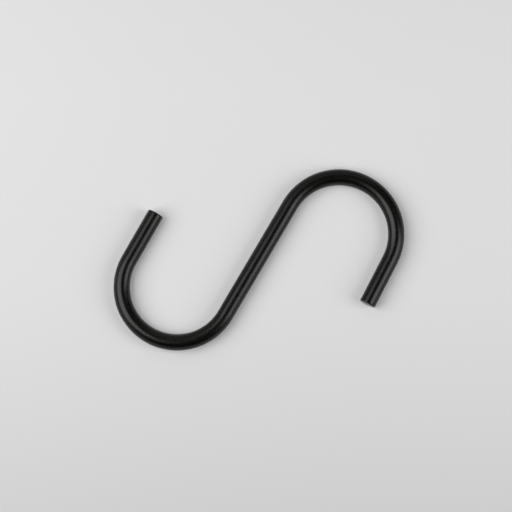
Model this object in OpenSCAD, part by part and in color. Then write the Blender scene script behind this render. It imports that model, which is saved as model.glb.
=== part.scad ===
// S hook: one round steel rod, cut to length, bent twice in one plane and coated black.
// It lies flat on z = 0 with its straight shank along Y. The upper hook opens downwards
// on the +X side, and the lower hook opens upwards on the -X side. Sizes are in millimetres.

/* [Rod] */
// Diameter of the rod over its coating
rod_d = 5; // [4:0.1:6]
// Radius of the rounded rim at each flat cut end
rim_r = 0.4; // [0.2:0.1:1.5]

/* [Shank] */
// Length of the straight shank between the two bends
shank_l = 39; // [25:0.1:60]

/* [Upper hook] */
// Radius of the upper bend, to the middle of the rod
upper_bend_r = 17.4; // [12:0.1:25]
// Angle that the upper bend turns through
upper_turn = 177.1; // [160:0.1:180]
// Length of the straight leg after the upper bend
upper_leg_l = 15.3; // [5:0.1:25]

/* [Lower hook] */
// Radius of the lower bend, to the middle of the rod
lower_bend_r = 16.9; // [12:0.1:25]
// Angle that the lower bend turns through
lower_turn = 179.2; // [160:0.1:180]
// Length of the straight leg after the lower bend
lower_leg_l = 16.4; // [5:0.1:25]

/* [Hidden] */
$fn = 96;

rod_r = rod_d / 2;

// A leg starts this far inside the end of its bend, and is slimmer than it by a micrometre,
// so that the two join into one solid at any angle, with no faces that coincide.
lap = 0.02;
slim = 0.001;
leg_r = rod_r - slim;

// Reach of a hook from the middle of the shank: along the shank to the crown of its bend,
// and across it to the rounded rim of its leg, which splays outwards.
function crown_reach(bend_r) = shank_l / 2 + bend_r + rod_r;
function rim_reach(bend_r, turn, leg_l) =
    bend_r * (1 - cos(turn)) + (leg_l - rim_r) * sin(turn) - (leg_r - rim_r) * cos(turn) + rim_r;

// Middle of the box round the hook, which the part is centred on
centre_x = (rim_reach(upper_bend_r, upper_turn, upper_leg_l)
            - rim_reach(lower_bend_r, lower_turn, lower_leg_l)) / 2;
centre_y = (crown_reach(upper_bend_r) - crown_reach(lower_bend_r)) / 2;

// Straight shank along Y, with its middle at the origin
module shank() {
    rotate([90, 0, 0])
        cylinder(r = rod_r, h = shank_l, center = true);
}

// Bend that leaves the origin along +Y and turns towards +X
module bend(bend_r, turn) {
    translate([bend_r, 0, 0])
        rotate_extrude(angle = turn, start = 180 - turn)
            translate([bend_r, 0])
                circle(r = rod_r);
}

// Straight leg along +Y from the origin, cut off flat with a rounded rim
module leg(leg_l) {
    rotate([-90, 0, 0])
        rotate_extrude() {
            translate([0, -lap])
                square([leg_r, leg_l - rim_r + lap]);
            square([leg_r - rim_r, leg_l]);
            translate([leg_r - rim_r, leg_l - rim_r])
                circle(r = rim_r);
        }
}

// One hook of the S, starting at the origin along +Y: the bend, then the leg at its far end
module hooked_end(bend_r, turn, leg_l) {
    bend(bend_r, turn);
    translate([bend_r, 0, 0])
        rotate([0, 0, -turn])
            translate([-bend_r, 0, 0])
                leg(leg_l);
}

// The whole rod: the shank with a hook on each end, the lower one turned half round
module hook() {
    color("#161616")
        translate([-centre_x, -centre_y, rod_r]) {
            shank();
            translate([0, shank_l / 2, 0])
                hooked_end(upper_bend_r, upper_turn, upper_leg_l);
            rotate([0, 0, 180])
                translate([0, shank_l / 2, 0])
                    hooked_end(lower_bend_r, lower_turn, lower_leg_l);
        }
}

hook();
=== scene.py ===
"""Looks of an S hook: steel rod, bent twice and powder coated black, lying on a pale board.

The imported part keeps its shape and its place. Here it gets its coating, and round it come the
board that it lies on, a low wall, the soft lamps, the dim room and the camera. Everything is in
metres, in the part's own frame: the hook lies flat on z = 0 with its shank along Y, and the box
round it is centred on the origin.
"""

import logging
import math
from dataclasses import dataclass
from enum import Enum
from typing import Any

import bpy
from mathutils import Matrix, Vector

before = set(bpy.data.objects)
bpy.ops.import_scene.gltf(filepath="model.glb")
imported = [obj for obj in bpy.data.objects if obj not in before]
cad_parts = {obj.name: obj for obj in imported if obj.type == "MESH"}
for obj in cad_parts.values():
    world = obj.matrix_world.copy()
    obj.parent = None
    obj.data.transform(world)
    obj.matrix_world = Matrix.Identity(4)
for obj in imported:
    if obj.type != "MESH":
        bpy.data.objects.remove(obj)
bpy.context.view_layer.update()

MM = 0.001  # a millimetre in metres
HOOK_NODE = "hook"

# The sRGB curve: a straight line up to its toe, and a power above it.
SRGB_WHITE = 255.0
SRGB_TOE = 0.04045
SRGB_TOE_SLOPE = 12.92
SRGB_OFFSET = 0.055
SRGB_POWER = 2.4
RED_AT, GREEN_AT, BLUE_AT = 1, 3, 5  # where each channel starts in "#RRGGBB"

log = logging.getLogger("s_hook")


class Slot(Enum):
    """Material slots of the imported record."""

    BLACK_COAT = "black_coat"


class Side(Enum):
    """Sides of the studio as the camera sees them, as azimuths in degrees from +X."""

    FRONT = -59.66
    RIGHT = 30.34
    BACK = 120.34
    LEFT = 210.34


def level_direction(azimuth: float) -> Vector:
    """Gives the level unit vector at an azimuth in degrees."""
    angle = math.radians(azimuth)
    return Vector((math.cos(angle), math.sin(angle), 0.0))


def raised_direction(azimuth: float, off_vertical: float) -> Vector:
    """Gives the unit vector that points up and out of the board.

    Args:
        azimuth: degrees anticlockwise from +X.
        off_vertical: degrees down from straight up.

    Returns:
        The direction as a unit vector.
    """
    angle = math.radians(off_vertical)
    return level_direction(azimuth) * math.sin(angle) + Vector((0.0, 0.0, math.cos(angle)))


def linear(hex_colour: str) -> tuple[float, float, float, float]:
    """Turns an sRGB colour into the linear colour that a shader takes.

    Args:
        hex_colour: the colour as "#RRGGBB".

    Returns:
        Linear red, green and blue, and an alpha of 1.
    """
    channels = []
    for start in (RED_AT, GREEN_AT, BLUE_AT):
        value = int(hex_colour[start:start + 2], 16) / SRGB_WHITE
        if value <= SRGB_TOE:
            channels.append(value / SRGB_TOE_SLOPE)
        else:
            channels.append(((value + SRGB_OFFSET) / (1.0 + SRGB_OFFSET)) ** SRGB_POWER)
    return channels[0], channels[1], channels[2], 1.0


def add_node(
    tree: bpy.types.NodeTree,
    kind: str,
    settings: dict[str, Any] | None = None,
    values: dict[str | int, Any] | None = None,
    links: dict[str | int, bpy.types.NodeSocket] | None = None,
) -> bpy.types.Node:
    """Adds one node to a tree, with its settings and its incoming links.

    Args:
        tree: the material's or the world's node tree.
        kind: Blender's type name of the node, such as "ShaderNodeBump".
        settings: the node's own attributes and what they are set to.
        values: input sockets, by name or number, and their constants.
        links: input sockets, by name or number, and the outputs that feed them.

    Returns:
        The new node.
    """
    node = tree.nodes.new(kind)
    for name, value in (settings or {}).items():
        setattr(node, name, value)
    for socket, value in (values or {}).items():
        node.inputs[socket].default_value = value
    for socket, output in (links or {}).items():
        tree.links.new(output, node.inputs[socket])
    return node


def add_seen(tree: bpy.types.NodeTree) -> bpy.types.NodeSocket:
    """Adds the nodes that tell a ray that shows a surface from one that only lights others.

    Args:
        tree: the node tree that asks.

    Returns:
        An output of 1 for a camera, glossy or transmission ray, and of 0 for any other.
    """
    path = add_node(tree, "ShaderNodeLightPath")
    mirrored = add_node(
        tree,
        "ShaderNodeMath",
        settings={"operation": "MAXIMUM"},
        links={0: path.outputs["Is Glossy Ray"], 1: path.outputs["Is Transmission Ray"]},
    )
    seen = add_node(
        tree,
        "ShaderNodeMath",
        settings={"operation": "MAXIMUM"},
        links={0: path.outputs["Is Camera Ray"], 1: mirrored.outputs[0]},
    )
    return seen.outputs[0]


def new_material(name: str) -> bpy.types.Material:
    """Makes an empty node material.

    Args:
        name: the material's name.

    Returns:
        The material, with nothing in its node tree.
    """
    material = bpy.data.materials.new(name)
    material.use_nodes = True
    material.node_tree.nodes.clear()
    return material


@dataclass(frozen=True)
class PowderCoatFinish:
    """Satin black polyester powder, sprayed dry on the steel and baked to a skin."""

    # To the eye it is a near black with a trace of warmth, and its sheen is broad and soft: the
    # matting agent leaves the skin a little rough, so that a lamp shows as a blurred streak along
    # the rod, and takes off part of its gloss. Where the powder flowed together it keeps a faint
    # orange peel.
    name: str = "satin_black_powder_coat"
    thin_colour: str = "#070705"
    thick_colour: str = "#050503"
    metallic: float = 0.0
    ior: float = 1.5
    gloss_level: float = 0.30
    satin_roughness: float = 0.29
    roughness_swing: float = 0.06
    peel_spacing: float = 1.6 * MM
    peel_height: float = 0.004 * MM
    peel_octaves: float = 1.0
    peel_fineness: float = 0.4
    grain_spacing: float = 0.40 * MM
    grain_height: float = 0.002 * MM
    grain_octaves: float = 2.0
    grain_fineness: float = 0.55
    grain_low: float = 0.3
    grain_high: float = 0.7

    def build(self) -> bpy.types.Material:
        """Builds the coating's material.

        Returns:
            The material, ready to go into a slot.
        """
        material = new_material(self.name)
        tree = material.node_tree
        place = add_node(tree, "ShaderNodeTexCoord")
        peel = add_node(
            tree,
            "ShaderNodeTexNoise",
            values={
                "Scale": 1.0 / self.peel_spacing,
                "Detail": self.peel_octaves,
                "Roughness": self.peel_fineness,
            },
            links={"Vector": place.outputs["Object"]},
        )
        # The grain of the matting agent is a few hundredths of a millimetre wide on the real
        # coating. It is drawn coarser here, so that it still shows.
        grain = add_node(
            tree,
            "ShaderNodeTexNoise",
            values={
                "Scale": 1.0 / self.grain_spacing,
                "Detail": self.grain_octaves,
                "Roughness": self.grain_fineness,
            },
            links={"Vector": place.outputs["Object"]},
        )
        colour = add_node(
            tree,
            "ShaderNodeMix",
            settings={"data_type": "RGBA"},
            values={"A": linear(self.thin_colour), "B": linear(self.thick_colour)},
            links={"Factor": peel.outputs["Fac"]},
        )
        roughness = add_node(
            tree,
            "ShaderNodeMapRange",
            values={
                "From Min": self.grain_low,
                "From Max": self.grain_high,
                "To Min": self.satin_roughness - self.roughness_swing,
                "To Max": self.satin_roughness + self.roughness_swing,
            },
            links={"Value": grain.outputs["Fac"]},
        )
        peel_bump = add_node(
            tree,
            "ShaderNodeBump",
            values={"Distance": self.peel_height},
            links={"Height": peel.outputs["Fac"]},
        )
        grain_bump = add_node(
            tree,
            "ShaderNodeBump",
            values={"Distance": self.grain_height},
            links={"Height": grain.outputs["Fac"], "Normal": peel_bump.outputs["Normal"]},
        )
        skin = add_node(
            tree,
            "ShaderNodeBsdfPrincipled",
            values={
                "Metallic": self.metallic,
                "IOR": self.ior,
                "Specular IOR Level": self.gloss_level,
            },
            links={
                "Base Color": colour.outputs["Result"],
                "Roughness": roughness.outputs["Result"],
                "Normal": grain_bump.outputs["Normal"],
            },
        )
        add_node(
            tree, "ShaderNodeOutputMaterial", links={"Surface": skin.outputs["BSDF"]}
        )
        return material


@dataclass(frozen=True)
class BoardFinish:
    """Matt pale paint on the board and the wall, with painted shade that greys its front."""

    # To the eye it is a smooth pale ground without gloss. A faint glow of its own, which shows in
    # the view and in the coating but lights nothing, keeps the shadows open. Further out than the
    # lamps reach, such a glow takes over, so that the ground stays pale all round.
    name: str = "matt_pale_board"
    # The colours hold painted shade: pale at the back, greyer towards the front.
    front_shade_places: tuple[float, ...] = (-90.0 * MM, -50.0 * MM, -10.0 * MM, 50.0 * MM)
    paint_and_front_shade_colours: tuple[str, ...] = ("#BDBDBD", "#C7C7C7", "#CFCFCF", "#D3D3D3")
    glow: float = 0.112
    far_colour: str = "#DEDEDE"
    far_start: float = 0.115
    far_end: float = 0.22

    def build(self) -> bpy.types.Material:
        """Builds the board's material.

        Returns:
            The material, ready to go into a slot.
        """
        material = new_material(self.name)
        tree = material.node_tree
        place = add_node(tree, "ShaderNodeTexCoord")
        seen = add_seen(tree)
        depth = add_node(
            tree,
            "ShaderNodeVectorMath",
            settings={"operation": "DOT_PRODUCT"},
            values={1: level_direction(Side.BACK.value)},
            links={0: place.outputs["Object"]},
        )
        first, last = self.front_shade_places[0], self.front_shade_places[-1]
        along = add_node(
            tree,
            "ShaderNodeMapRange",
            values={"From Min": first, "From Max": last},
            links={"Value": depth.outputs["Value"]},
        )
        # This ramp paints shade into the board, greyer towards the front.
        painted_shade_ramp = add_node(
            tree, "ShaderNodeValToRGB", links={"Fac": along.outputs["Result"]}
        )
        # A new ramp already has its two end stops, and keeps all its stops in order.
        stops = painted_shade_ramp.color_ramp.elements
        for at in self.front_shade_places[1:-1]:
            stops.new((at - first) / (last - first))
        for stop, colour in zip(stops, self.paint_and_front_shade_colours):
            stop.color = linear(colour)
        paint = add_node(
            tree, "ShaderNodeBsdfDiffuse", links={"Color": painted_shade_ramp.outputs["Color"]}
        )
        glow_strength = add_node(
            tree,
            "ShaderNodeMath",
            settings={"operation": "MULTIPLY"},
            values={1: self.glow},
            links={0: seen},
        )
        glow = add_node(
            tree, "ShaderNodeEmission", links={"Strength": glow_strength.outputs[0]}
        )
        near = add_node(
            tree, "ShaderNodeAddShader", links={0: paint.outputs[0], 1: glow.outputs[0]}
        )
        far = add_node(
            tree, "ShaderNodeEmission", values={"Color": linear(self.far_colour)}
        )
        reach = add_node(
            tree,
            "ShaderNodeVectorMath",
            settings={"operation": "LENGTH"},
            links={0: place.outputs["Object"]},
        )
        outward = add_node(
            tree,
            "ShaderNodeMapRange",
            settings={"interpolation_type": "SMOOTHSTEP"},
            values={"From Min": self.far_start, "From Max": self.far_end},
            links={"Value": reach.outputs["Value"]},
        )
        far_share = add_node(
            tree,
            "ShaderNodeMath",
            settings={"operation": "MULTIPLY"},
            links={0: outward.outputs["Result"], 1: seen},
        )
        ground = add_node(
            tree,
            "ShaderNodeMixShader",
            links={0: far_share.outputs[0], 1: near.outputs[0], 2: far.outputs[0]},
        )
        add_node(
            tree, "ShaderNodeOutputMaterial", links={"Surface": ground.outputs[0]}
        )
        return material


@dataclass
class SHook:
    """The bent rod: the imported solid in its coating."""

    solid: bpy.types.Object
    coat: PowderCoatFinish

    def dress(self) -> None:
        """Gives every slot of the solid the coating."""
        material = self.coat.build()
        for slot in self.solid.material_slots:
            slot.material = material
        faces = len(self.solid.data.polygons)
        log.info("%s: %d faces in %s", self.solid.name, faces, material.name)


@dataclass(frozen=True)
class SoftLamp:
    """A lamp behind a flat white cloth, hung so that it faces the hook.

    Its brightness is that of the cloth, where a white sheet in plain light has 1.
    """

    name: str
    azimuth: float
    off_vertical: float
    distance: float
    width: float
    height: float
    brightness: float

    def hang(self) -> None:
        """Hangs the lamp, unseen by the camera."""
        data = bpy.data.lights.new(self.name, "AREA")
        data.shape = "RECTANGLE"
        data.size = self.width
        data.size_y = self.height
        # A matt sheet sends out pi times its brightness from each unit of its area.
        data.energy = self.brightness * math.pi * self.width * self.height
        lamp = bpy.data.objects.new(self.name, data)
        bpy.context.scene.collection.objects.link(lamp)
        outward = raised_direction(self.azimuth, self.off_vertical)
        lamp.location = outward * self.distance
        lamp.rotation_euler = (-outward).to_track_quat("-Z", "Y").to_euler()
        lamp.visible_camera = False
        log.info("%s: %.0f by %.0f mm", self.name, self.width / MM, self.height / MM)


LAMPS = (
    SoftLamp(
        name="left_lamp",
        azimuth=Side.LEFT.value + 2.9,
        off_vertical=39.9,
        distance=0.60,
        width=0.51,
        height=0.58,
        brightness=3.80,
    ),
    SoftLamp(
        name="right_lamp",
        azimuth=Side.RIGHT.value - 12.0,
        off_vertical=52.3,
        distance=0.53,
        width=0.32,
        height=0.39,
        brightness=3.81,
    ),
    SoftLamp(
        name="back_panel",
        azimuth=Side.BACK.value + 11.3,
        off_vertical=49.6,
        distance=0.90,
        width=1.40,
        height=0.64,
        brightness=0.50,
    ),
)


@dataclass(frozen=True)
class Studio:
    """The board, the low wall round it, the lamps and the dim room."""

    ground: BoardFinish
    lamps: tuple[SoftLamp, ...]
    board_width: float = 6.0
    wall_radius: float = 2.9
    wall_height: float = 0.45
    wall_sides: int = 96
    room_colour: str = "#FFFFFF"
    room_light: float = 0.004

    def set_up(self) -> None:
        """Lays the ground, hangs the lamps and fills the room."""
        self.lay_ground()
        for lamp in self.lamps:
            lamp.hang()
        self.fill_room()

    def lay_ground(self) -> None:
        """Lays the board level under the hook and stands the wall on it."""
        paint = self.ground.build()
        bpy.ops.object.select_all(action="DESELECT")
        bpy.ops.mesh.primitive_plane_add(size=self.board_width, location=(0.0, 0.0, 0.0))
        board = bpy.context.object
        board.name = "board"
        bpy.ops.object.select_all(action="DESELECT")
        bpy.ops.mesh.primitive_cylinder_add(
            vertices=self.wall_sides,
            radius=self.wall_radius,
            depth=self.wall_height,
            end_fill_type="NOTHING",
            location=(0.0, 0.0, self.wall_height / 2.0),
        )
        wall = bpy.context.object
        wall.name = "low_wall"
        for surface in (board, wall):
            surface.data.materials.append(paint)

    def fill_room(self) -> None:
        """Gives the room its dim light."""
        world = bpy.data.worlds.new("dim_room")
        bpy.context.scene.world = world
        world.use_nodes = True
        tree = world.node_tree
        tree.nodes.clear()
        dim = add_node(
            tree,
            "ShaderNodeBackground",
            values={"Color": linear(self.room_colour), "Strength": self.room_light},
        )
        add_node(tree, "ShaderNodeOutputWorld", links={"Surface": dim.outputs[0]})


@dataclass(frozen=True)
class TopCamera:
    """The camera over the hook, leaning a little towards the front.

    Its lean is in degrees, and its sensor's width in millimetres, as Blender takes it.
    """

    aim: Vector = Vector((-1.80 * MM, 0.51 * MM, 2.5 * MM)).freeze()
    lean: float = 7.0
    distance: float = 0.65
    field: float = 155.95 * MM
    sensor: float = 36.0
    nearest: float = 10.0 * MM

    def place(self) -> None:
        """Makes the camera the scene's own."""
        data = bpy.data.cameras.new("top_camera")
        data.sensor_width = self.sensor
        data.lens = self.sensor * self.distance / self.field
        data.clip_start = self.nearest
        camera = bpy.data.objects.new("top_camera", data)
        bpy.context.scene.collection.objects.link(camera)
        outward = raised_direction(Side.FRONT.value, self.lean)
        camera.location = self.aim + outward * self.distance
        camera.rotation_euler = (-outward).to_track_quat("-Z", "Y").to_euler()
        bpy.context.scene.camera = camera


def main() -> None:
    """Dresses the hook and sets the studio round it."""
    logging.basicConfig(level=logging.INFO, format="%(name)s: %(message)s")
    hook = SHook(solid=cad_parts[HOOK_NODE], coat=PowderCoatFinish())
    hook.dress()
    Studio(ground=BoardFinish(), lamps=LAMPS).set_up()
    TopCamera().place()
    bpy.context.scene.view_settings.view_transform = "Standard"


if __name__ == "__main__":
    main()
